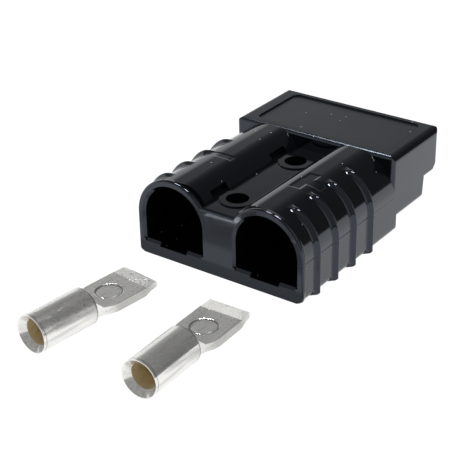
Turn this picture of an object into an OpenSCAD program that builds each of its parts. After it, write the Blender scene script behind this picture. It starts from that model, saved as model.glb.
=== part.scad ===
// Two-pole genderless power connector: a moulded housing, a leaf spring for
// each pole, and two crimp contacts that lie loose behind the wire ports.
// X runs across the poles, Y from the wire end to the mating end and Z up.
// The origin is on the underside, midway between the two mounting holes.

/* [Housing] */
// Width over the flat sides
housing_w = 36.8; // [32:0.1:48]
// Height of the hood above the underside
housing_h = 16.5; // [15.5:0.1:20]
// Height of the parting line and of the mating plane
parting_z = 7.8; // [7.5:0.05:8.2]
// Length of the barrel section, from the wire end
body_l = 34; // [28:0.5:44]
// Length of the hood outside
hood_l = 18.3; // [16:0.1:22]
// Depth that the mate enters past the barrel section
mating_l = 16.6; // [14:0.1:18]
// Radius along the lower long edges
bottom_r = 1.2; // [0.5:0.1:1.8]

/* [Barrels] */
// Half width and arch radius of a wire port
port_r = 6.65; // [5.5:0.05:7]
// Wall round a wire port
barrel_wall = 1.3; // [1:0.05:1.5]
// Distance from the hood's top down to a barrel's crown
crown_drop = 0.15; // [0.05:0.05:0.5]
// Height of the port floor
port_floor_z = 3; // [2.7:0.05:3.3]
// Depth of a port up to its front wall
port_depth = 31.5; // [26:0.5:32]
// Chamfer round a port's mouth
port_chamfer = 0.5; // [0.2:0.05:0.7]
// Height of the collar round the mouth
collar_h = 0.35; // [0.2:0.05:0.7]
// Radius on the outer edge of the collar
collar_fillet = 0.5; // [0.2:0.05:0.65]
// Length of the collar, with its ramp down to the barrel
collar_l = 1.4; // [1.2:0.1:2]
// Radius of the shoulder on a barrel's inner side
shoulder_r = 5.2; // [4.5:0.1:5.6]

/* [Ribs] */
// Number of grip ribs on each side
rib_count = 4; // [2:1:4]
// Height of a rib at the side
rib_h = 0.75; // [0.4:0.05:0.9]
// Distance from the wire end to the first ridge
rib_first = 5.2; // [4:0.1:6]
// Distance between ridges
rib_pitch = 6.2; // [5:0.1:7.5]
// How much nearer to the wire end the left ribs stand
left_rib_shift = 1.4; // [0:0.1:1.6]
// Radius on a ridge
ridge_r = 0.3; // [0.15:0.05:0.35]
// Radius at a rib's lower end
rib_end_r = 0.5; // [0.2:0.05:0.7]
// Angle above the side at which a rib begins to fade out
rib_fade_start = 60; // [50:1:62]
// Angle above the side at which a rib has faded out
rib_fade_end = 72; // [68:1:76]

/* [Web and mounting holes] */
// Depth of the web below the hood's top
web_depth = 3.2; // [2.6:0.1:3.6]
// Half width of the web at its floor
web_half_w = 3.65; // [3.5:0.05:4.2]
// Radius on the web's edge at the wire end
web_edge_r = 0.6; // [0.2:0.1:0.8]
// Diameter of a mounting hole
hole_d = 4.4; // [3.4:0.1:5.2]
// Distance between the mounting holes
hole_pitch = 19.5; // [15:0.1:21]
// Distance from the wire end to the first hole
hole_first = 6.6; // [6:0.1:8]
// Diameter of the raised seat round a hole
seat_d = 6.9; // [5.8:0.1:7]
// Height of the seat
seat_h = 0.25; // [0.1:0.05:0.4]
// Half width of the notches for a screw head
notch_half_w = 4.6; // [4.2:0.1:5]
// Length of a notch
notch_l = 4.9; // [4:0.1:6]

/* [Hood and tongues] */
// Thickness of the hood's side walls
hood_wall = 1.8; // [1.6:0.1:2.2]
// Thickness of the hood's roof
hood_roof = 1.5; // [1.3:0.1:1.8]
// Half thickness of the divider in the hood
divider_half = 1; // [0.7:0.1:1.4]
// Gap left between mated faces
mate_gap = 0.2; // [0.1:0.05:0.3]
// Distance from the hood's front edge back to the tongues
tongue_setback = 1.7; // [1:0.1:3]
// How far a tongue's lower front edge stands back
tongue_slant = 0.6; // [0.2:0.1:1]
// Radius along a tongue's lower outer edge
tongue_r = 1.2; // [0.6:0.1:1.5]
// Radius on the hood's long top edges
hood_side_r = 1.45; // [0.6:0.05:1.8]
// Radius on the hood's edges and corners at the wire end
hood_rear_r = 0.8; // [0.4:0.1:1.2]
// Radius on the hood's upright corners at the mating end
hood_front_r = 1.4; // [0.6:0.1:1.8]
// Chamfer on the hood's lower front corners
hood_chamfer = 2.1; // [1:0.1:2.5]
// Depth of the panel in the hood's top
panel_depth = 0.3; // [0.1:0.05:0.4]
// Distance from the hood's wire end to the panel
panel_rear = 1.9; // [1.2:0.1:3]
// Distance from the hood's mating end to the panel
panel_front = 1.6; // [1.2:0.1:3]
// Distance from the hood's sides to the panel
panel_side = 3.4; // [2:0.1:4.5]
// Radius on the panel's corners
panel_r = 1.5; // [0.5:0.1:2]

/* [Springs] */
// Width of a leaf spring
spring_w = 5.8; // [5:0.1:6.4]
// Thickness of a leaf spring
spring_t = 0.5; // [0.4:0.05:0.7]
// Length of the flat tail in the port
spring_tail = 12; // [6:0.5:20]
// Height of the arch above the channel floor
spring_rise = 3.9; // [2.5:0.1:4.2]
// Gap on each side of the spring in its channel
spring_gap = 0.25; // [0.15:0.05:0.4]

/* [Contacts] */
// Outer radius of the wire barrel
wire_barrel_r = 3.55; // [3.3:0.05:4]
// Radius of the wire bore
bore_r = 2.45; // [2:0.05:2.8]
// Depth of the wire bore
bore_depth = 10.2; // [7:0.1:11]
// Length of the wire barrel
wire_barrel_l = 12.3; // [11:0.1:14]
// Overall length of a contact
contact_l = 25.9; // [24:0.1:28]
// Width of the blade
blade_w = 8.8; // [7.6:0.1:9.2]
// Thickness of the blade
blade_t = 1.5; // [1.2:0.1:1.8]
// Height of the blade's top above the barrel's axis
blade_rise = 0.35; // [0:0.05:0.8]
// Height of the nose above the blade
nose_h = 0.8; // [0.4:0.05:1]
// Width of the bevel on each side of the nose
nose_bevel_w = 1.1; // [0.5:0.1:1.4]
// Outer radius of the pressed ring on the blade
ring_r = 2.45; // [1.8:0.05:2.8]
// Distance from the mouth to the middle of the ring
ring_y = 18; // [17.6:0.1:19]

/* [Where the loose contacts lie] */
// Mouth of the right contact, from the housing's middle
right_mouth_x = 12.6; // [8:0.1:20]
// Mouth of the left contact, from the housing's middle
left_mouth_x = -10.9; // [-20:0.1:-6]
// Distance from both mouths to the wire end
mouth_y = 38.25; // [32:0.05:60]
// Turn of the right contact, in degrees
right_turn = 1.7; // [-6:0.1:6]
// Turn of the left contact, in degrees
left_turn = -6.4; // [-10:0.1:0]

/* [Hidden] */
$fn = 64;
eps = 0.01;
barrel_r = port_r + barrel_wall;
pole_x = housing_w / 2 - barrel_r;
crown_z = housing_h - crown_drop;
arch_z = crown_z - barrel_r;
web_z = housing_h - web_depth;
housing_l = body_l + mating_l;
hood_y = housing_l - hood_l;
wire_y = -(hole_first + hole_pitch / 2);
collar_r = barrel_r + collar_h;
collar_bottom_r = bottom_r + collar_h;
hole_ys = [hole_first, hole_first + hole_pitch];

// Middle of the shoulder's arc, which starts at the edge of the web's floor
shoulder_z = crown_z - shoulder_r;
shoulder_x = web_half_w + sqrt(pow(shoulder_r, 2) - pow(web_z - shoulder_z, 2));

// Circle on which a rib fades out, seen along the barrel: it crosses the
// ridge where the fade starts and the barrel where it ends
ridge_top = barrel_r + rib_h;
fade_ray = 45;
fade_e = (pow(ridge_top, 2) - pow(barrel_r, 2))
    / (2 * (ridge_top * cos(rib_fade_start - fade_ray) - barrel_r * cos(rib_fade_end - fade_ray)));
fade_r = sqrt(pow(barrel_r, 2) + pow(fade_e, 2)
    - 2 * fade_e * barrel_r * cos(rib_fade_end - fade_ray));

// Heights that the mate, turned over, asks for
mate_z = parting_z - 0.05;
mate_roof_z = 2 * mate_z - housing_h + hood_roof;
tongue_z = mate_roof_z + mate_gap;
tongue_top_z = mate_z - 0.05;
tongue_half_w = housing_w / 2 - hood_wall - mate_gap;
slot_half = divider_half + mate_gap;
tongue_front = housing_l - tongue_setback;
cavity_top_z = housing_h - hood_roof;

// The way of the contact and its spring through the housing
spring_channel_w = spring_w + 2 * spring_gap;
channel_z = port_floor_z - 0.8;
blade_gap = 0.3;
blade_top_z = port_floor_z + wire_barrel_r + blade_rise;
ledge_z = blade_top_z - blade_t - 0.7;
window_top_z = blade_top_z + nose_h + 0.4;
channel_front = tongue_front - 1.5;

// Extrudes an outline of the X-Z plane along Y
module along_y(y0, y1) {
    translate([0, y1, 0])
        rotate([90, 0, 0])
            linear_extrude(y1 - y0)
                children();
}

// Turns a profile (radius, y) round an axis parallel to Y, from the first
// angle above X on
module around_y(x, z, first, sweep) {
    translate([x, 0, z])
        rotate([90, -first, 0])
            rotate_extrude(angle = sweep)
                mirror([0, 1])
                    children();
}

// Puts the right-hand shape on both sides
module both_sides() {
    children();
    mirror([1, 0, 0])
        children();
}

// Rectangle with its four corners rounded
module round_rect(x0, y0, x1, y1, r) {
    translate([x0 + r, y0])
        square([x1 - x0 - 2 * r, y1 - y0]);
    translate([x0, y0 + r])
        square([x1 - x0, y1 - y0 - 2 * r]);
    for (x = [x0 + r, x1 - r], y = [y0 + r, y1 - r])
        translate([x, y])
            circle(r);
}

// Flat-bottomed arch, the outline of a barrel or a port
module arch(r, z0) {
    translate([pole_x, arch_z])
        intersection() {
            circle(r);
            translate([-r, 0])
                square([2 * r, r]);
        }
    translate([pole_x - r, z0])
        square([2 * r, arch_z - z0 + eps]);
}

// Arch over a foot with a rounded lower outer corner
module barrel_outline(r, corner) {
    translate([pole_x, arch_z])
        circle(r);
    translate([-eps, corner])
        square([pole_x + r + eps, arch_z - corner]);
    translate([-eps, 0])
        square([pole_x + r - corner + eps, corner + eps]);
    translate([pole_x + r - corner, corner])
        circle(corner);
}

// Profile of a grip rib: a ramp towards the wire end and a steep back
module rib_profile(foot_r) {
    back = 60;
    tip = [ridge_top - ridge_r, 0];
    ramp_top = tip + ridge_r * [cos(45), -sin(45)];
    back_top = tip + ridge_r * [cos(back), sin(back)];
    translate(tip)
        circle(ridge_r);
    polygon([
        [foot_r, ramp_top[1] - (ramp_top[0] - foot_r)],
        ramp_top,
        back_top,
        [foot_r, back_top[1] + (back_top[0] - foot_r) / tan(back)],
        [foot_r - 0.2, 0],
    ]);
}

// One rib, which fades out towards the crown of the barrel
module rib(y) {
    reach = rib_pitch / 2;
    rib_z = arch_z - 0.1;
    fade_x = pole_x + fade_e * cos(fade_ray);
    fade_z = rib_z + fade_e * sin(fade_ray);
    translate([0, y, 0]) {
        intersection() {
            around_y(pole_x, rib_z, 0, 90)
                rib_profile(barrel_r - 0.3);
            along_y(-reach, reach) {
                translate([fade_x, fade_z])
                    circle(fade_r);
                translate([pole_x, rib_z])
                    polygon([[0, -1], [ridge_top + 2, -1], [ridge_top + 2, ridge_top + 2], [0, 0]]);
            }
        }
        intersection() {
            translate([pole_x, 0, 0])
                linear_extrude(rib_z)
                    rib_profile(barrel_r - bottom_r - 0.2);
            along_y(-reach, reach)
                barrel_outline(ridge_top + 0.02, rib_end_r);
        }
    }
}

// Profile of the collar round the mouth, with its front edge rounded
module collar_profile(r) {
    foot_r = barrel_r - 0.4;
    translate([foot_r, collar_fillet])
        square([r - foot_r, 0.15]);
    translate([foot_r, 0])
        square([r - collar_fillet - foot_r, collar_fillet + eps]);
    translate([r - collar_fillet, collar_fillet])
        circle(collar_fillet);
    polygon([
        [foot_r, collar_fillet],
        [r, collar_fillet + 0.15],
        [barrel_r - 0.1, collar_l],
        [foot_r, collar_l],
    ]);
}

module collar() {
    around_y(pole_x, arch_z, 0, 180)
        collar_profile(collar_r);
    intersection() {
        translate([pole_x, 0, 0])
            linear_extrude(arch_z)
                collar_profile(collar_r);
        along_y(0, collar_l)
            barrel_outline(collar_r, collar_bottom_r);
    }
}

// Shoulder that fills a barrel's inner side down to the web
module shoulder() {
    along_y(collar_l, hood_y + 1)
        difference() {
            union() {
                translate([shoulder_x, shoulder_z])
                    circle(shoulder_r);
                translate([shoulder_x, shoulder_z])
                    square([pole_x - shoulder_x, shoulder_r]);
            }
            translate([pole_x, 0])
                square([shoulder_r, housing_h]);
        }
}

// Floor between the barrels, with its edge rounded at the wire end
module web() {
    rotate([90, 0, 90])
        translate([0, 0, -web_half_w - 1])
            linear_extrude(2 * web_half_w + 2) {
                translate([0, arch_z - 1])
                    square([hood_y + 1, web_z - web_edge_r - arch_z + 1]);
                translate([web_edge_r, arch_z - 1])
                    square([hood_y + 1 - web_edge_r, web_z - arch_z + 1]);
                translate([web_edge_r, web_z - web_edge_r])
                    circle(web_edge_r);
            }
}

// Both barrels, the web between them and the solid under it
module barrel_section() {
    both_sides() {
        along_y(0, hood_y + hood_rear_r + 0.2)
            barrel_outline(barrel_r, bottom_r);
        shoulder();
        collar();
    }
    for (i = [0 : rib_count - 1]) {
        rib(rib_first + i * rib_pitch);
        mirror([1, 0, 0])
            rib(rib_first - left_rib_shift + i * rib_pitch);
    }
    web();
    along_y(0, body_l)
        intersection() {
            round_rect(-housing_w / 2, 0, housing_w / 2, housing_h, bottom_r);
            translate([-housing_w / 2, 0])
                square([housing_w, parting_z + 0.2]);
        }
}

// Hood outside, as rounded outlines that meet
module hood_block() {
    r = hood_side_r;
    half = housing_w / 2;
    intersection() {
        along_y(hood_y, housing_l)
            round_rect(-half, parting_z - 2 * r, half, housing_h, r);
        translate([0, 0, parting_z])
            linear_extrude(housing_h)
                round_rect(-half, hood_y, half, housing_l + 2 * hood_front_r, hood_rear_r);
        translate([0, 0, parting_z])
            linear_extrude(housing_h)
                round_rect(-half, hood_y - 2 * hood_front_r, half, housing_l, hood_front_r);
        rotate([90, 0, 90])
            translate([0, 0, -housing_w])
                linear_extrude(2 * housing_w)
                    hood_side();
    }
}

// Side outline of the hood (y, z), chamfered at the lower front corner
module hood_side() {
    r = hood_rear_r;
    difference() {
        round_rect(hood_y, parting_z - 2 * r, housing_l, housing_h, r);
        polygon([
            [housing_l + 1, parting_z - 4],
            [housing_l + 1, parting_z + hood_chamfer + 1],
            [housing_l, parting_z + hood_chamfer],
            [housing_l - hood_chamfer, parting_z],
            [housing_l - hood_chamfer, parting_z - 4],
        ]);
    }
}

// Cavity of the hood on the right of the divider
module hood_cavity() {
    r = 0.6;
    along_y(body_l, housing_l + 1)
        round_rect(divider_half, tongue_top_z - 1, housing_w / 2 - hood_wall, cavity_top_z, r);
    lead = 0.5;
    rotate([90, 0, 90])
        translate([0, 0, divider_half])
            linear_extrude(housing_w / 2 - hood_wall - divider_half)
                polygon([
                    [housing_l + eps, cavity_top_z - 1],
                    [housing_l + eps, cavity_top_z + lead / 2],
                    [housing_l - lead, cavity_top_z - 0.05],
                    [housing_l - lead, cavity_top_z - 1],
                ]);
}

// Tongue under one contact, rounded below, with a slanted front
module tongue() {
    nose_r = 0.7;
    low_front = tongue_front - tongue_slant;
    intersection() {
        along_y(body_l - 1, tongue_front)
            round_rect(slot_half, tongue_z, tongue_half_w, tongue_top_z + 2 * tongue_r, tongue_r);
        rotate([90, 0, 90])
            linear_extrude(housing_w) {
                polygon([
                    [body_l - 3, tongue_z],
                    [low_front - nose_r, tongue_z],
                    [low_front, tongue_z + nose_r],
                    [tongue_front, tongue_top_z],
                    [body_l - 3, tongue_top_z],
                ]);
                intersection() {
                    translate([low_front - nose_r, tongue_z + nose_r])
                        circle(nose_r);
                    translate([low_front - nose_r, tongue_z])
                        square(nose_r);
                }
            }
    }
}

// Wire port, with its mouth chamfered and its floor lip eased
module port() {
    along_y(-1, port_depth)
        arch(port_r, port_floor_z);
    around_y(pole_x, arch_z, 0, 180)
        polygon([
            [0, -1],
            [port_r + port_chamfer + 1, -1],
            [port_r, port_chamfer],
            [0, port_chamfer],
        ]);
    mouth_w = 2 * port_r;
    translate([pole_x - port_r, 0, port_floor_z]) {
        rotate([90, 0, 90])
            linear_extrude(mouth_w)
                polygon([[-1, -port_chamfer - 1], [-1, 1], [port_chamfer, 0]]);
        for (x = [0, mouth_w])
            translate([x, 0, 0])
                linear_extrude(arch_z - port_floor_z)
                    polygon([
                        [-port_chamfer - 1, -1],
                        [port_chamfer + 1, -1],
                        [0, port_chamfer],
                    ]);
    }
}

// Spring channel along the floor, and the window for the blade
module contact_way() {
    translate([pole_x - spring_channel_w / 2, -1, channel_z])
        cube([spring_channel_w, channel_front + 1, ledge_z - channel_z + 1]);
    w = blade_w + 2 * blade_gap;
    translate([pole_x - w / 2, port_depth - 1, ledge_z])
        cube([w, body_l - port_depth + 1 + eps, window_top_z - ledge_z]);
    translate([pole_x - w / 2, body_l - eps, ledge_z])
        cube([w, mating_l, tongue_top_z]);
}

// Raised seat round a mounting hole
module seat(y) {
    translate([0, y, web_z - 1])
        cylinder(d = seat_d, h = seat_h + 1);
}

// Mounting hole with the notches for a screw head beside it
module mounting_hole(y) {
    translate([0, y, -1])
        cylinder(d = hole_d, h = housing_h + 2);
    for (side = [-1, 1])
        translate([side * (notch_half_w + seat_d / 2) / 2, y, web_z + web_depth / 2])
            cube([notch_half_w - seat_d / 2, notch_l, web_depth], center = true);
}

// Shallow bands across the crowns where the mould inserts meet
module crown_bands() {
    depth = 0.25;
    band_y = 13.6;
    band_l = 2.5;
    tab_w = 2.6;
    tab_l = 2.2;
    module sunk() {
        intersection() {
            along_y(band_y - 2 * tab_l, band_y + band_l + 2 * tab_l)
                translate([pole_x, arch_z])
                    difference() {
                        circle(barrel_r + 2);
                        circle(barrel_r - depth);
                    }
            translate([pole_x, 0, arch_z])
                linear_extrude(2 * barrel_r)
                    children();
        }
    }
    sunk() {
        translate([-2.4, band_y])
            square([5.6, band_l]);
        translate([-2.4, band_y - tab_l])
            square([tab_w, tab_l + 1]);
        translate([-2.1, band_y])
            square([tab_w, band_l + tab_l]);
    }
    mirror([1, 0, 0])
        sunk()
            translate([-3.3, band_y + 0.8])
                square([7.1, band_l - 0.5]);
}

// Recess in the hood's top
module panel() {
    translate([0, 0, housing_h - panel_depth])
        linear_extrude(1)
            round_rect(
                -housing_w / 2 + panel_side,
                hood_y + panel_rear,
                housing_w / 2 - panel_side,
                housing_l - panel_front,
                panel_r
            );
}

module housing() {
    color([0.08, 0.08, 0.09])
        translate([0, wire_y, 0])
            difference() {
                union() {
                    barrel_section();
                    hood_block();
                    both_sides()
                        tongue();
                    for (y = hole_ys)
                        seat(y);
                }
                both_sides() {
                    port();
                    contact_way();
                    hood_cavity();
                }
                for (y = hole_ys)
                    mounting_hole(y);
                crown_bands();
                panel();
            }
}

// Centre line of the spring: flat tail, then a smooth arch, as [y, z]
spring_start = body_l - spring_tail;
arch_start = body_l;
arch_end = channel_front - 0.4;
function spring_z(y) =
    y < arch_start ? 0 : spring_rise * (1 - cos(360 * arch_part(y))) / 2;
function arch_part(y) = (y - arch_start) / (arch_end - arch_start) * 0.93;

module leaf_spring() {
    steps = 28;
    ys = concat(
        [spring_start],
        [for (i = [0 : steps]) arch_start + (arch_end - arch_start) * i / steps]
    );
    low = [for (y = ys) [y, channel_z + spring_z(y)]];
    high = [for (i = [len(ys) - 1 : -1 : 0]) [ys[i], channel_z + spring_t + spring_z(ys[i])]];
    color([0.72, 0.73, 0.74])
        translate([pole_x - spring_w / 2, wire_y, 0])
            rotate([90, 0, 90])
                linear_extrude(spring_w)
                    polygon(concat(low, high));
}

module left_spring() {
    mirror([1, 0, 0])
        leaf_spring();
}

module right_spring() {
    leaf_spring();
}

// Wire barrel, a tube whose underside is rounded where the blade begins
module wire_barrel() {
    edge = 0.3;
    heel_r = 2;
    intersection() {
        translate([0, 0, wire_barrel_r])
            around_y(0, 0, 0, 360) {
                square([wire_barrel_r, wire_barrel_l - edge]);
                square([wire_barrel_r - edge, wire_barrel_l]);
                translate([wire_barrel_r - edge, wire_barrel_l - edge])
                    circle(edge);
            }
        rotate([90, 0, 90])
            translate([0, 0, -wire_barrel_r - 1])
                linear_extrude(2 * wire_barrel_r + 2) {
                    translate([-1, heel_r])
                        square([wire_barrel_l + 1, 2 * wire_barrel_r]);
                    translate([-1, -1])
                        square([wire_barrel_l + 1 - heel_r, heel_r + 2]);
                    translate([wire_barrel_l - heel_r, heel_r])
                        circle(heel_r);
                }
    }
}

// Wire bore, with its mouth countersunk
module wire_bore() {
    lip = 0.6;
    sink = 1.2;
    mouth_r = wire_barrel_r - 0.15;
    translate([0, 0, wire_barrel_r])
        around_y(0, 0, 0, 360) {
            translate([0, -1])
                square([bore_r, bore_depth + 1]);
            polygon([
                [0, -lip],
                [mouth_r + lip * (mouth_r - bore_r) / sink, -lip],
                [bore_r, sink],
                [0, sink],
            ]);
        }
}

// Half width of the blade at a distance from the mouth
neck_y = wire_barrel_l - 0.4;
neck_half = 2.7;
flare_l = 4.8;
nose_y = contact_l - 2.9;
blade_top = wire_barrel_r + blade_rise;
function flare_part(y) = pow(sin(90 * min(1, max(0, (y - neck_y) / flare_l))), 1.3);
function flare(y) = neck_half + (blade_w / 2 - neck_half) * flare_part(y);

module blade_plan() {
    steps = 12;
    ys = [for (i = [0 : steps]) neck_y + flare_l * i / steps];
    right = [for (y = ys) [flare(y), y]];
    left = [for (i = [steps : -1 : 0]) [-flare(ys[i]), ys[i]]];
    end_half = blade_w / 2 - 0.35;
    polygon(concat(
        [[neck_half, neck_y - 1.5]],
        right,
        [[blade_w / 2, nose_y], [end_half, contact_l]],
        [[-end_half, contact_l], [-blade_w / 2, nose_y]],
        left,
        [[-neck_half, neck_y - 1.5]]
    ));
}

// Side outline of the blade (y, z): neck, flat, and a raised nose
module blade_side() {
    low = blade_top - blade_t;
    polygon([
        [neck_y - 1.5, blade_top + 1.9],
        [neck_y + 0.4, blade_top + 1.3],
        [neck_y + 1.7, blade_top],
        [nose_y, blade_top],
        [nose_y + 1.3, blade_top + nose_h],
        [nose_y + 1.7, blade_top + nose_h],
        [contact_l - 0.1, blade_top + 0.15],
        [contact_l, blade_top - 0.1],
        [contact_l, blade_top - blade_t * 0.6],
        [contact_l - 0.3, low + 0.5],
        [nose_y + 1.2, low + 0.45],
        [nose_y - 0.2, low],
        [neck_y + 1.7, low],
        [neck_y - 1.5, low - 0.6],
    ]);
}

// Prism that bevels one side of the nose down to the blade's edge
module nose_bevel() {
    inner = blade_w / 2 - nose_bevel_w;
    along_y(nose_y - 0.2, contact_l + 1)
        polygon([
            [inner, blade_top + nose_h],
            [blade_w / 2, blade_top],
            [blade_w / 2 + 1, blade_top],
            [blade_w / 2 + 1, blade_top + nose_h + 1],
            [inner, blade_top + nose_h + 1],
        ]);
}

// Shallow ring pressed into the blade
module pressed_ring() {
    depth = 0.12;
    land = 0.5;
    translate([0, ring_y, blade_top - depth])
        difference() {
            cylinder(r = ring_r, h = 1);
            translate([0, 0, -1])
                cylinder(r = ring_r - land, h = 3);
        }
}

module contact(x, turn) {
    color([0.8, 0.8, 0.78])
        translate([x, wire_y - mouth_y, 0])
            rotate([0, 0, turn])
                difference() {
                    union() {
                        wire_barrel();
                        intersection() {
                            linear_extrude(2 * wire_barrel_r + 2)
                                blade_plan();
                            rotate([90, 0, 90])
                                translate([0, 0, -blade_w])
                                    linear_extrude(2 * blade_w)
                                        blade_side();
                        }
                    }
                    wire_bore();
                    pressed_ring();
                    both_sides()
                        nose_bevel();
                }
}

module left_contact() {
    contact(left_mouth_x, left_turn);
}

module right_contact() {
    contact(right_mouth_x, right_turn);
}

housing();
left_spring();
right_spring();
left_contact();
right_contact();
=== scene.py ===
import math

import bpy
import numpy as np
from mathutils import Matrix, Vector


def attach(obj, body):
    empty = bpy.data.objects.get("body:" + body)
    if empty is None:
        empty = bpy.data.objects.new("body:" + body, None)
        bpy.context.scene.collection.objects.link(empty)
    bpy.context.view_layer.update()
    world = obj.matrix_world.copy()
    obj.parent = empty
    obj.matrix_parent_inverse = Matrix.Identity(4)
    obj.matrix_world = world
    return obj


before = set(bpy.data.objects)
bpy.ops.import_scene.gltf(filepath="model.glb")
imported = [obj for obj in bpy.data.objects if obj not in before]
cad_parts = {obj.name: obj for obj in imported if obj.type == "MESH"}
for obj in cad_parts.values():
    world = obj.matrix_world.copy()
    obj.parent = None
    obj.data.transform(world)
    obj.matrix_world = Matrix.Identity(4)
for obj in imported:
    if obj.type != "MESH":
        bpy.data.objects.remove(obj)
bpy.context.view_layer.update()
scene = bpy.context.scene
scene.view_settings.view_transform = "Standard"

# Camera, solved from the photograph: its place is in metres, in the frame of the part
AZIMUTH, ELEVATION, ROLL = (math.radians(a) for a in (36.46, 28.03, -1.23))
EYE = Vector((0.12842, -0.18608, 0.12307))
LENS_MM, SENSOR_MM = 103.37, 36
CLIP_START, CLIP_END = 0.01, 50


def make_camera():
    back = Vector((
        math.sin(AZIMUTH) * math.cos(ELEVATION),
        -math.cos(AZIMUTH) * math.cos(ELEVATION),
        math.sin(ELEVATION),
    ))
    right = Vector((0, 0, 1)).cross(back).normalized()
    up = back.cross(right)
    side = math.cos(ROLL) * right + math.sin(ROLL) * up
    top = math.cos(ROLL) * up - math.sin(ROLL) * right
    data = bpy.data.cameras.new("camera")
    data.lens = LENS_MM
    data.sensor_width = SENSOR_MM
    data.clip_start = CLIP_START
    data.clip_end = CLIP_END
    camera = bpy.data.objects.new("camera", data)
    turned = Matrix((side, top, back)).transposed().to_4x4()
    camera.matrix_world = Matrix.Translation(EYE) @ turned
    scene.collection.objects.link(camera)
    scene.camera = camera


class Tree:
    """The node tree of a material or of the world, built by short calls."""

    def __init__(self, owner):
        owner.use_nodes = True
        self.owner = owner
        self.nodes = owner.node_tree.nodes
        self.links = owner.node_tree.links

    def put(self, socket, value):
        """Links an output to the input socket, or writes a plain value on it."""
        if isinstance(value, bpy.types.NodeSocket):
            self.links.new(value, socket)
        elif value is not None:
            socket.default_value = value

    def add(self, kind, inputs=(), **settings):
        """A new node. Its inputs are values or outputs, by place or by name."""
        node = self.nodes.new(kind)
        for name, value in settings.items():
            setattr(node, name, value)
        for key, value in (inputs.items() if isinstance(inputs, dict) else enumerate(inputs)):
            self.put(node.inputs[key], value)
        return node

    def split(self, vector):
        return self.add("ShaderNodeSeparateXYZ", [vector]).outputs

    def place(self):
        """The point in the part's frame, in metres."""
        return self.add("ShaderNodeTexCoord").outputs["Object"]

    def facing(self):
        """How far the surface faces up: 1 on a level top, 0 on an upright side."""
        return self.split(self.add("ShaderNodeNewGeometry").outputs["Normal"])["Z"]

    def math(self, operation, *values, clamp=False):
        node = self.add("ShaderNodeMath", values, operation=operation, use_clamp=clamp)
        return node.outputs[0]

    def plus(self, first, *others, clamp=False):
        for other in others:
            first = self.math("ADD", first, other, clamp=clamp)
        return first

    def less(self, first, *others, clamp=False):
        """The first value less each of the others."""
        for other in others:
            first = self.math("SUBTRACT", first, other, clamp=clamp)
        return first

    def times(self, first, *others):
        for other in others:
            first = self.math("MULTIPLY", first, other)
        return first

    def length(self, x, y):
        return self.math("SQRT", self.plus(self.times(x, x), self.times(y, y)))

    def range(self, value, low, high, to_low=0.0, to_high=1.0, smooth=True):
        """Goes from to_low to to_high while the value goes from low to high."""
        kind = "SMOOTHSTEP" if smooth else "LINEAR"
        inputs = [value, low, high, to_low, to_high]
        return self.add("ShaderNodeMapRange", inputs, interpolation_type=kind).outputs[0]

    def near(self, value, middle, full, gone):
        """1 up to full away from the middle, fading to 0 at gone away from it."""
        away = self.math("ABSOLUTE", self.less(value, middle))
        return self.range(away, full, gone, 1, 0)

    def noise(self, vector, scale, detail, roughness=0.5):
        inputs = {"Vector": vector, "Scale": scale, "Detail": detail, "Roughness": roughness}
        return self.add("ShaderNodeTexNoise", inputs).outputs["Fac"]

    def stretch(self, vector, scale):
        return self.add("ShaderNodeMapping", {"Vector": vector, "Scale": scale}).outputs[0]

    def mix(self, factor, a, b):
        """Goes from colour a to colour b with the factor."""
        node = self.add("ShaderNodeMix", data_type="RGBA")
        for name, value in (("Factor", factor), ("A", a), ("B", b)):
            self.put(next(s for s in node.inputs if s.name == name and s.enabled), value)
        return next(s for s in node.outputs if s.enabled)

    def cover(self, colour, over, mask, share=1):
        """The colour with another over it where the mask is, at that share."""
        return self.mix(self.times(mask, share), colour, over)

    def bump(self, height, strength, distance, normal=None):
        inputs = {"Strength": strength, "Distance": distance, "Height": height, "Normal": normal}
        return self.add("ShaderNodeBump", inputs).outputs[0]

    def shade(self, **sockets):
        """Sets inputs of the material's shader, with _ for a space in their names."""
        shader = self.nodes["Principled BSDF"]
        for name, value in sockets.items():
            self.put(shader.inputs[name.replace("_", " ")], value)


def new_material(name):
    return Tree(bpy.data.materials.new(name))


def grey(value):
    return (value, value, value, 1)


# In the materials, places and widths are in metres, and noise scales are per metre. A
# finish comes in from the first to the second place of a pair, or goes if its name has
# END, and it goes from the first to the second width or radius. Most of a noise lies in
# NOISE_SPAN.
NOISE_SPAN = 0.3, 0.7

# Moulded black plastic
BLACK, BLACK_PALER = (0.0022, 0.0024, 0.0030, 1), (0.0032, 0.0034, 0.0042, 1)
PLASTIC_IOR, PLASTIC_TINT = 1.62, (0.72, 0.83, 1.0, 1)
POLISHED_ROUGH, SATIN_ROUGH, MARK_ROUGH = (0.07, 0.11), 0.33, 0.4
FLOW_SCALE, FINE_SCALE = 160, 3200
HOOD_TOP_Z, HOOD_Y = (0.0160, 0.0163), (0.01595, 0.01695)
PARTING_Z, PARTING_WIDTH = 0.0078, (0.00003, 0.00009)
PARTING_X, PARTING_END_Y = (0.0177, 0.0180), (0.01595, 0.01615)
PARTING_GREY = grey(0.001)
DUST_SCALE, DUST_CHANCE = 620.0, 0.955
DUST_RADIUS, DUST_FACING = (0.045, 0.085), (0.6, 0.9)
DUST_GREY, DUST_SHARE = grey(0.8), 0.75


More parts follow.
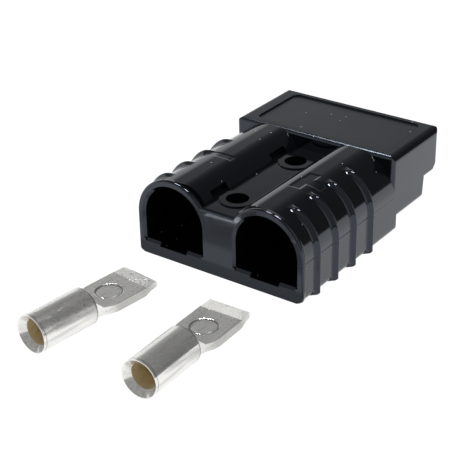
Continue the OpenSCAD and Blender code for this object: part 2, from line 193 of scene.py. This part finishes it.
def plastic():
    t = new_material("moulded_plastic")
    place = t.place()
    x, y, z = t.split(place)
    flow = t.noise(place, FLOW_SCALE, 3)
    fine = t.noise(place, FINE_SCALE, 3)
    # the parting line runs along the flat sides and over the ribs, as far as the hood
    parting = t.times(
        t.near(z, PARTING_Z, *PARTING_WIDTH),
        t.range(t.math("ABSOLUTE", x), *PARTING_X),
        t.range(y, *PARTING_END_Y, 1, 0),
    )
    # a few cells hold a speck of dust, on what faces up
    inputs = {"Vector": place, "Scale": DUST_SCALE, "Randomness": 1.0}
    cells = t.add("ShaderNodeTexVoronoi", inputs, voronoi_dimensions="2D").outputs
    draw = t.add("ShaderNodeSeparateColor", [cells["Color"]]).outputs[0]
    dust = t.times(
        t.range(cells["Distance"], *DUST_RADIUS, 1, 0),
        t.math("GREATER_THAN", draw, DUST_CHANCE),
        t.range(t.facing(), *DUST_FACING),
    )
    # the hood's top is eroded to a satin finish, the rest is polished
    satin = t.times(t.range(z, *HOOD_TOP_Z), t.range(y, *HOOD_Y))
    colour = t.mix(flow, BLACK, BLACK_PALER)
    colour = t.cover(colour, PARTING_GREY, parting)
    colour = t.cover(colour, DUST_GREY, dust, DUST_SHARE)
    rough = t.plus(
        t.range(flow, *NOISE_SPAN, *POLISHED_ROUGH),
        t.times(satin, SATIN_ROUGH),
        t.times(t.plus(parting, dust), MARK_ROUGH),
        clamp=True,
    )
    normal = t.bump(fine, strength=0.03, distance=0.00002)
    normal = t.bump(t.times(parting, -1), strength=1.0, distance=0.00006, normal=normal)
    t.shade(
        Base_Color=colour,
        Roughness=rough,
        Normal=normal,
        IOR=PLASTIC_IOR,
        Specular_Tint=PLASTIC_TINT,
    )
    return t.owner


# Silver plate over copper. Places are along a contact, from its mouth, and radii are
# from its axis.
AXIS_Z = 0.00355
FUNNEL_Y, FUNNEL_R = (0.0011, 0.0014), (0.0031, 0.00325)
BORE_R, BORE_END_Y = (0.00244, 0.00249), 0.0104
BLADE_Y, NOSE_Y = 0.0140, (0.0230, 0.0232)
RING_Y, RING_R, RING_WIDTH = 0.0180, 0.00245, (0.00006, 0.00022)
TURNED_Y, TURNED_R, TURNED_WIDTH = (0.0005, 0.01195), 0.0033, (0.00004, 0.00013)
DRAWN = (1, 0.06, 1)
STREAK_SCALE, BROAD_SCALE, TARNISH_SCALE = 1500, 420, 190
GRAIN_SCALE, PIT_SCALE = 2200, 2300
STREAK_SPAN, TARNISH_SPAN, PIT_SPAN = (0.50, 0.68), (0.35, 0.7), (0.56, 0.64)
PIT_FACING, PITS_ON_SIDES = (0.1, 0.6), 0.15
SILVER, SILVER_DULL = (0.90, 0.893, 0.862, 1), (0.83, 0.824, 0.80, 1)
BORE_COLOUR = (0.80, 0.68, 0.44, 1)
# The grey over the pressed ring and the turned lines is painted shade, darkening them as if in
# shadow
PIT_GREY, STREAK_GREY, GROOVE_SHADE_GREY = grey(0.42), grey(0.45), grey(0.26)
STREAK_SHARE, GROOVE_SHADE_SHARE = 0.45, 0.75
PLATED_ROUGH, BORE_ROUGH = (0.10, 0.19), 0.3
STREAK_ROUGH_SPAN, STREAK_ROUGH = (0.45, 0.75), 0.12
PLATED_METAL, BORE_LOSS, FUNNEL_LOSS = 0.82, 0.53, 0.15

# These pairs are what a fine contact has and what a coarse one has
PIT_SHARE, NOSE_LOSS = (0.25, 0.70), (0.62, 0.37)
GRAIN_BUMP, PIT_BUMP = (0.03, 0.13), (0.1, 0.5)


def silver(name, mouth, turn, coarse):
    """Finish of the contact with that mouth and turn. Coarse goes from 0 to 1."""

    def graded(pair):
        at_fine, at_coarse = pair
        return at_fine + (at_coarse - at_fine) * coarse

    t = new_material(name)
    local = t.add("ShaderNodeMapping", {
        "Vector": t.place(),
        "Location": (*mouth, AXIS_Z),
        "Rotation": (0, 0, math.radians(turn)),
    }, vector_type="TEXTURE").outputs[0]
    x, y, z = t.split(local)
    radius = t.length(x, z)
    drawn = t.stretch(local, DRAWN)
    streak = t.noise(drawn, STREAK_SCALE, 3, 0.6)
    broad = t.noise(drawn, BROAD_SCALE, 2)
    tarnish = t.noise(local, TARNISH_SCALE, 3)
    # the finish changes in the funnel at the mouth, in the bore and on the nose
    deep = t.range(y, *FUNNEL_Y)
    funnel = t.times(t.range(radius, *FUNNEL_R, 1, 0), t.less(1.0, deep))
    bore_end = t.math("LESS_THAN", y, BORE_END_Y)
    bore = t.times(t.range(radius, *BORE_R, 1, 0), deep, bore_end)
    nose = t.range(y, *NOSE_Y)
    # a fine contact has little texture on its nose, and the sides have few pits
    textured = t.less(1.0, t.times(nose, 1.0 - coarse))
    pits = t.times(
        t.range(t.noise(local, PIT_SCALE, 2), *PIT_SPAN),
        t.range(t.facing(), *PIT_FACING, PITS_ON_SIDES, 1),
        textured,
    )
    grain = t.times(t.noise(local, GRAIN_SCALE, 3), textured)
    # a ring is pressed into the blade, and the barrel has a turned line at both ends; their
    # colour is darkened as painted shade
    from_centre = t.length(x, t.less(y, RING_Y))
    on_blade = t.math("GREATER_THAN", y, BLADE_Y)
    ring = t.times(t.near(from_centre, RING_R, *RING_WIDTH), on_blade)
    outside = t.math("GREATER_THAN", radius, TURNED_R)
    turned = [t.times(t.near(y, line_y, *TURNED_WIDTH), outside) for line_y in TURNED_Y]
    groove_shade = t.plus(ring, *turned, clamp=True)
    colour = t.mix(t.range(tarnish, *TARNISH_SPAN), SILVER, SILVER_DULL)
    colour = t.cover(colour, PIT_GREY, pits, graded(PIT_SHARE))
    colour = t.cover(colour, STREAK_GREY, t.range(streak, *STREAK_SPAN), STREAK_SHARE)
    # painted shade: the pressed ring and the turned lines are darkened
    colour = t.cover(colour, GROOVE_SHADE_GREY, groove_shade, GROOVE_SHADE_SHARE)
    colour = t.cover(colour, BORE_COLOUR, bore)
    rough = t.plus(
        t.range(broad, *NOISE_SPAN, *PLATED_ROUGH),
        t.range(streak, *STREAK_ROUGH_SPAN, 0, STREAK_ROUGH),
        t.times(bore, BORE_ROUGH),
        clamp=True,
    )
    # the plating scatters a little light, and the bore, the funnel and the nose more
    metal = t.less(
        PLATED_METAL,
        t.times(bore, BORE_LOSS),
        t.times(funnel, FUNNEL_LOSS),
        t.times(nose, graded(NOSE_LOSS)),
    )
    normal = t.bump(streak, strength=0.35, distance=0.00002)
    normal = t.bump(grain, strength=graded(GRAIN_BUMP), distance=0.000008, normal=normal)
    normal = t.bump(pits, strength=graded(PIT_BUMP), distance=0.00002, normal=normal)
    normal = t.bump(t.times(ring, -1), strength=0.8, distance=0.00008, normal=normal)
    t.shade(Base_Color=colour, Roughness=rough, Normal=normal, Metallic=metal)
    return t.owner


# Rolled spring strip
STEEL, STEEL_PALER = (0.52, 0.52, 0.53, 1), (0.64, 0.64, 0.65, 1)
STEEL_ROUGH = 0.22, 0.36
ROLLED = (1, 0.08, 1)
ROLLED_SCALE, CLOUD_SCALE = 2600, 300


def spring_steel():
    t = new_material("spring_steel")
    place = t.place()
    streak = t.noise(t.stretch(place, ROLLED), ROLLED_SCALE, 3)
    t.shade(
        Base_Color=t.mix(t.noise(place, CLOUD_SCALE, 2), STEEL, STEEL_PALER),
        Roughness=t.range(streak, *NOISE_SPAN, *STEEL_ROUGH),
        Normal=t.bump(streak, strength=0.2, distance=0.00002),
        Metallic=1.0,
    )
    return t.owner


# Outer skins of the barrels, in millimetres, with y from the wire end. Each lies a
# hair's breadth over the CAD faces and gives the ribs rounded noses and soft feet, the
# collar its rounded lip, and the bands between the mould inserts soft edges.
MM = 0.001
WIRE_Y = -16.35
POLE_X, ARCH_Z, BARREL_R = 10.45, 8.4, 7.95
CROWN_Z = ARCH_Z + BARREL_R
FOOT_X, FOOT_R = 17.2, 1.2
SHOULDER_X, SHOULDER_Z, SHOULDER_R, SHOULDER_END = 8.385, 11.15, 5.2, 156.2
HOLE_Y, NOTCH_X, NOTCH_HALF = (6.6, 26.1), 4.6, 2.45
SKIN_LIFT, LOWEST_Z = 0.015, 0.004

# How finely a skin is divided: the points on each stretch of its outline, and its rows
# along y, which keep ROW_GAP from an edge. A point within SLACK of an edge is on it, and
# TINY keeps a divisor from being zero.
FOOT_POINTS, SIDE_POINTS, ARCH_POINTS, CROWN_POINTS = 13, 10, 76, 9
SHOULDER_POINTS, NOTCH_POINTS = 18, 8
ROWS_FROM, ROWS_TO, ROW_STEP, ROW_GAP = 0.8, 33.2, 0.12, 0.05
SLACK, TINY = 0.02, 1e-6

# Ribs: the slopes before and behind a ridge, how softly they meet each other and the
# barrel, and the outline that they keep to round the lower corner and on the arch. Room
# for a rib is FREE where nothing limits it, and NO_RIB where there is none.
RIB_COUNT, RIB_FIRST, RIB_PITCH, LEFT_SHIFT = 4, 5.2, 6.2, 1.4
RIB_BEFORE, RIB_BEHIND, RIB_STEEP, RIB_SWELL = 0.959, 0.606, 1.732, 0.12
RIDGE_SOFT, FADE_SOFT, FOOT_SOFT = 1.0, 0.4, 0.36
RIB_REACH, RIB_END_R = 8.74, 0.5
FADE_ANGLE, FADE_CENTRE, FADE_R, FADE_SPARE = math.radians(45), 4.73, 4.308, 0.1
FREE, NO_RIB = 3, -3

# Collar: its height, where its ramp starts, how steep and soft that is, and its end
COLLAR_H, COLLAR_Y, COLLAR_SLOPE, COLLAR_SOFT, COLLAR_END = 0.32, 0.65, 0.6, 0.2, 1.385

# Bands of each side: least and greatest x from the pole, and least and greatest y. FAR
# is further than any point lies from a band.
BANDS = {
    1: ((-2.25, 3.05, 13.75, 15.95), (-2.25, 0.05, 11.55, 14.6), (-1.95, 0.35, 13.75, 18.15)),
    -1: ((-3.15, 3.65, 14.55, 16.25),),
}
BAND_DEPTH, BAND_SOFT, FAR = 0.11, 0.3, 9.0


def smooth_min(a, b, width):
    return np.minimum(a, b) - np.maximum(width - np.abs(a - b), 0) ** 2 / (4 * width)


def smooth_max(a, b, width):
    return -smooth_min(-a, -b, width)


def foot_room(angle):
    """How far a rib may stand out round the barrel's lower corner."""
    reach = RIB_REACH + POLE_X - FOOT_X
    way = Vector((math.cos(angle), math.sin(angle)))
    far = min(reach / max(way.x, TINY), FOOT_R / max(-way.y, TINY))
    middle = Vector((reach - RIB_END_R, RIB_END_R - FOOT_R))
    if (way * far).x > middle.x and (way * far).y < middle.y:
        along = way.dot(middle)
        far = along + math.sqrt(max(0, along ** 2 - middle.length_squared + RIB_END_R ** 2))
    return far - FOOT_R


def nose_room(angle):
    """How far a rib may stand out on the arch, where it fades out."""
    turn = angle - FADE_ANGLE
    if turn < 0:
        return FREE
    half_chord = math.sqrt(FADE_R ** 2 - (FADE_CENTRE * math.sin(turn)) ** 2)
    return FADE_CENTRE * math.cos(turn) + half_chord - BARREL_R + FADE_SPARE


def no_room(_):
    """A barrel's inner side has no ribs."""
    return NO_RIB


def skin_outline():
    """The barrel's outline from foot to web: x, z, normal and the room for a rib."""
    rows = []

    def arc(x, z, r, angles, room):
        for a in np.radians(angles):
            c, s = math.cos(a), math.sin(a)
            rows.append((x + r * c, z + r * s, c, s, room(a)))

    arc(FOOT_X, FOOT_R, FOOT_R, np.linspace(-90, 0, FOOT_POINTS), foot_room)
    side_z = np.linspace(FOOT_R, ARCH_Z, SIDE_POINTS)[1:-1]
    rows.extend((POLE_X + BARREL_R, z, 1, 0, FREE) for z in side_z)
    arc(POLE_X, ARCH_Z, BARREL_R, np.linspace(0, 90, ARCH_POINTS), nose_room)
    crown_x = np.linspace(POLE_X, SHOULDER_X, CROWN_POINTS)[1:-1]
    rows.extend((x, CROWN_Z, 0, 1, NO_RIB) for x in crown_x)
    notch = 180 - math.degrees(math.acos((SHOULDER_X - NOTCH_X) / (SHOULDER_R + SKIN_LIFT)))
    shoulder = np.linspace(90, notch, SHOULDER_POINTS)
    past_notch = np.linspace(notch, SHOULDER_END, NOTCH_POINTS)[1:]
    for angles in (shoulder, past_notch):
        arc(SHOULDER_X, SHOULDER_Z, SHOULDER_R, angles, no_room)
    return np.array(rows)


def skin_rows():
    """The y of each row of points, with one at the collar's end and each notch's."""
    edges = [COLLAR_END] + [y + k * NOTCH_HALF for y in HOLE_Y for k in (-1, 1)]
    rows = np.arange(ROWS_FROM, ROWS_TO, ROW_STEP)
    clear = [y for y in rows if min(abs(y - edge) for edge in edges) > ROW_GAP]
    return np.array(sorted(clear + edges))


def rib_height(y, room, shift):
    height = np.full(np.broadcast(y, room).shape, float(NO_RIB))
    for i in range(RIB_COUNT):
        t = y - (RIB_FIRST - shift + i * RIB_PITCH)
        before, behind = t + RIB_BEFORE, RIB_STEEP * (RIB_BEHIND - t) + RIB_SWELL
        ridge = smooth_min(before, behind, RIDGE_SOFT)
        height = np.maximum(height, smooth_min(ridge, room, FADE_SOFT))
    return height


def band_depth(x, y, side):
    away = np.full(np.broadcast(x, y).shape, FAR)
    for x0, x1, y0, y1 in BANDS[side]:
        out_x = np.abs(x - (x0 + x1) / 2) - (x1 - x0) / 2
        out_y = np.abs(y - (y0 + y1) / 2) - (y1 - y0) / 2
        away = np.minimum(away, np.maximum(out_x, out_y))
    part = np.clip(0.5 - away / BAND_SOFT, 0, 1)
    return BAND_DEPTH * part * part * (3 - 2 * part)


def skin_points(outline, ys, side):
    """The skin's points in metres, row by row along the outline."""
    x, z, nx, nz, room = (outline[:, k][:, None] for k in range(5))
    y = ys[None, :]
    height = smooth_max(0, rib_height(y, room, LEFT_SHIFT if side < 0 else 0), FOOT_SOFT)
    height = smooth_max(height, COLLAR_H - COLLAR_SLOPE * (y - COLLAR_Y), COLLAR_SOFT)
    height = height - band_depth(x - POLE_X, y, side) + SKIN_LIFT
    px = side * (x + nx * height)
    py = np.broadcast_to(y + WIRE_Y, px.shape)
    pz = np.maximum(z + nz * height, LOWEST_Z)
    return np.stack([px, py, pz], axis=-1).reshape(-1, 3) * MM


def skin_faces(outline, ys, side):
    """The skin's quads. There are none in the notches or on the collar's inner half."""
    inner = outline[:, 0] < POLE_X - SLACK
    at_notch = outline[:, 0] < NOTCH_X + SLACK
    middle = (ys[1:] + ys[:-1]) / 2
    in_notch = np.any([np.abs(middle - y) < NOTCH_HALF for y in HOLE_Y], axis=0)
    count = len(ys)
    faces = []
    for i in range(len(outline) - 1):
        for j in range(count - 1):
            if inner[i + 1] and middle[j] < COLLAR_END or at_notch[i] and in_notch[j]:
                continue
            a = i * count + j
            quad = (a, a + 1, a + count + 1, a + count)
            faces.append(quad if side > 0 else quad[::-1])
    return faces


def barrel_skin(name, side, material):
    """Mesh skin of the right (side 1) or left (side -1) barrel."""
    outline, ys = skin_outline(), skin_rows()
    points = skin_points(outline, ys, side)
    faces = skin_faces(outline, ys, side)
    mesh = bpy.data.meshes.new(name)
    mesh.from_pydata([tuple(p) for p in points.tolist()], [], faces)
    mesh.polygons.foreach_set("use_smooth", [True] * len(faces))
    mesh.materials.append(material)
    mesh.update()
    piece = bpy.data.objects.new(name, mesh)
    scene.collection.objects.link(piece)
    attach(piece, "root")


# Each contact: x and y of its mouth in metres, its turn in degrees, and how coarse it is
CONTACTS = {
    "left": ((-0.0109, -0.0546), -6.4, 1.0),
    "right": ((0.0126, -0.0546), 1.7, 0.2),
}


def dress():
    """Makes the skins, and gives each CAD node its material."""
    metal = spring_steel()
    black = plastic()
    barrel_skin("right_barrel_skin", 1, black)
    barrel_skin("left_barrel_skin", -1, black)
    finishes = {"housing": black, "left_spring": metal, "right_spring": metal}
    for side, (mouth, turn, coarse) in CONTACTS.items():
        finishes[f"{side}_contact"] = silver(f"silver_{side}", mouth, turn, coarse)
    for node, material in finishes.items():
        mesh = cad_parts[node].data
        mesh.materials.clear()
        mesh.materials.append(material)


# Table, in metres. The camera and reflections see it glow white, with some of its
# shadow left, and all other light meets a plain pale grey.
TABLE_R, TABLE_GREY = 1.6, 0.82
TABLE_GLOW, TABLE_SHARE = 1.12, 0.88

# How reflections see it: it darkens far out on the right, and before the wire ports it
# lies in light shade, with a darker stripe next to the housing and another further out
DARK_FAR, DARK_RIGHT, DARKNESS = (0.16, 0.28), (-0.02, 0.06), 0.9
SHADE_START_Y, SHADE_END_Y = (-0.044, -0.036), (-0.0164, -0.0160)
SHADE_HALF_X, SHADE = (0.022, 0.032), 0.12
NEAR_STRIPE_Y, NEAR_STRIPE = (-0.0206, -0.0194), 0.40
FAR_STRIPE_Y, FAR_STRIPE = (-0.0270, -0.0245), 0.42


def make_table():
    bpy.ops.mesh.primitive_circle_add(vertices=96, radius=TABLE_R, fill_type="NGON")
    table = bpy.context.object
    table.name = "table"
    t = new_material("table_white")
    t.shade(Base_Color=grey(TABLE_GREY), Roughness=0.75, Specular_IOR_Level=0.2)
    rays = t.add("ShaderNodeLightPath").outputs
    glossy = rays["Is Glossy Ray"]
    seen = t.plus(rays["Is Camera Ray"], glossy, rays["Is Transmission Ray"], clamp=True)
    x, y, _ = t.split(t.add("ShaderNodeNewGeometry").outputs["Position"])
    dark = t.times(t.range(t.length(x, y), *DARK_FAR, 0, DARKNESS), t.range(x, *DARK_RIGHT))
    stripes = t.plus(
        t.range(y, *NEAR_STRIPE_Y, 0, NEAR_STRIPE),
        t.range(y, *FAR_STRIPE_Y, FAR_STRIPE, 0),
        SHADE,
    )
    shade = t.times(
        stripes,
        t.range(y, *SHADE_START_Y),
        t.range(y, *SHADE_END_Y, 1, 0),
        t.range(t.math("ABSOLUTE", x), *SHADE_HALF_X, 1, 0),
    )
    lit = t.less(1.0, dark, shade, clamp=True)
    mirrored = t.add("ShaderNodeCombineColor", [lit, lit, lit]).outputs[0]
    shown = t.mix(glossy, grey(1), mirrored)
    glow = t.add("ShaderNodeEmission", [shown, TABLE_GLOW]).outputs[0]
    plain = t.nodes["Principled BSDF"].outputs[0]
    surface = t.add("ShaderNodeMixShader", [t.times(seen, TABLE_SHARE), plain, glow])
    t.put(t.nodes["Material Output"].inputs["Surface"], surface.outputs[0])
    table.data.materials.append(t.owner)


# The room, by the direction that is looked in: a dark base, a left side that is pale low
# down and darker higher up, a panel on the right and a faint fill in front
ROOM_BASE = 0.08
LEFT_X = -0.05, -0.65
LOW_Z, LOW_GLOW = (0.46, 0.28), 0.58
HIGH_Z, HIGH_GLOW = (0.45, 0.75), (0.18, 0.02)
PANEL_X, PANEL_Y, PANEL_SPREAD, PANEL_GLOW = (0.25, 0.4), 0.1, 1.5, 0.6
FRONT_Y, FRONT_GLOW = (-0.1, -0.5), 0.24


def make_world():
    """Room for light and reflections, and plain white for the camera."""
    scene.world = bpy.data.worlds.new("studio")
    t = Tree(scene.world)
    x, y, z = t.split(t.add("ShaderNodeTexCoord").outputs["Generated"])
    low = t.range(z, *LOW_Z, 0, LOW_GLOW)
    high = t.range(z, *HIGH_Z, *HIGH_GLOW, smooth=False)
    left = t.times(t.range(x, *LEFT_X), t.plus(low, high))
    aside = t.math("ABSOLUTE", t.less(y, PANEL_Y))
    panel = t.range(t.less(x, t.times(aside, PANEL_SPREAD)), *PANEL_X, 0, PANEL_GLOW)
    front = t.range(y, *FRONT_Y, 0, FRONT_GLOW)
    room = t.plus(left, ROOM_BASE, panel, front)
    seen = t.add("ShaderNodeLightPath").outputs["Is Camera Ray"]
    background = t.nodes["Background"].inputs
    t.put(background["Color"], t.plus(t.times(room, t.less(1.0, seen)), seen))
    t.put(background["Strength"], 1)


# Overhead softboxes: place, width and depth in metres, and radiance
SOFTBOXES = {
    "softbox_left": ((-0.245, 0.01, 0.7), 0.19, 0.13, 32),
    "softbox_right": ((0.07, 0.01, 0.7), 0.12, 0.12, 42),
}


def make_lights():
    for name, (place, width, depth, radiance) in SOFTBOXES.items():
        data = bpy.data.lights.new(name, "AREA")
        data.shape = "RECTANGLE"
        data.size, data.size_y = width, depth
        data.energy = radiance * math.pi * width * depth
        light = bpy.data.objects.new(name, data)
        light.location = place
        scene.collection.objects.link(light)


make_camera()
dress()
make_table()
make_world()
make_lights()
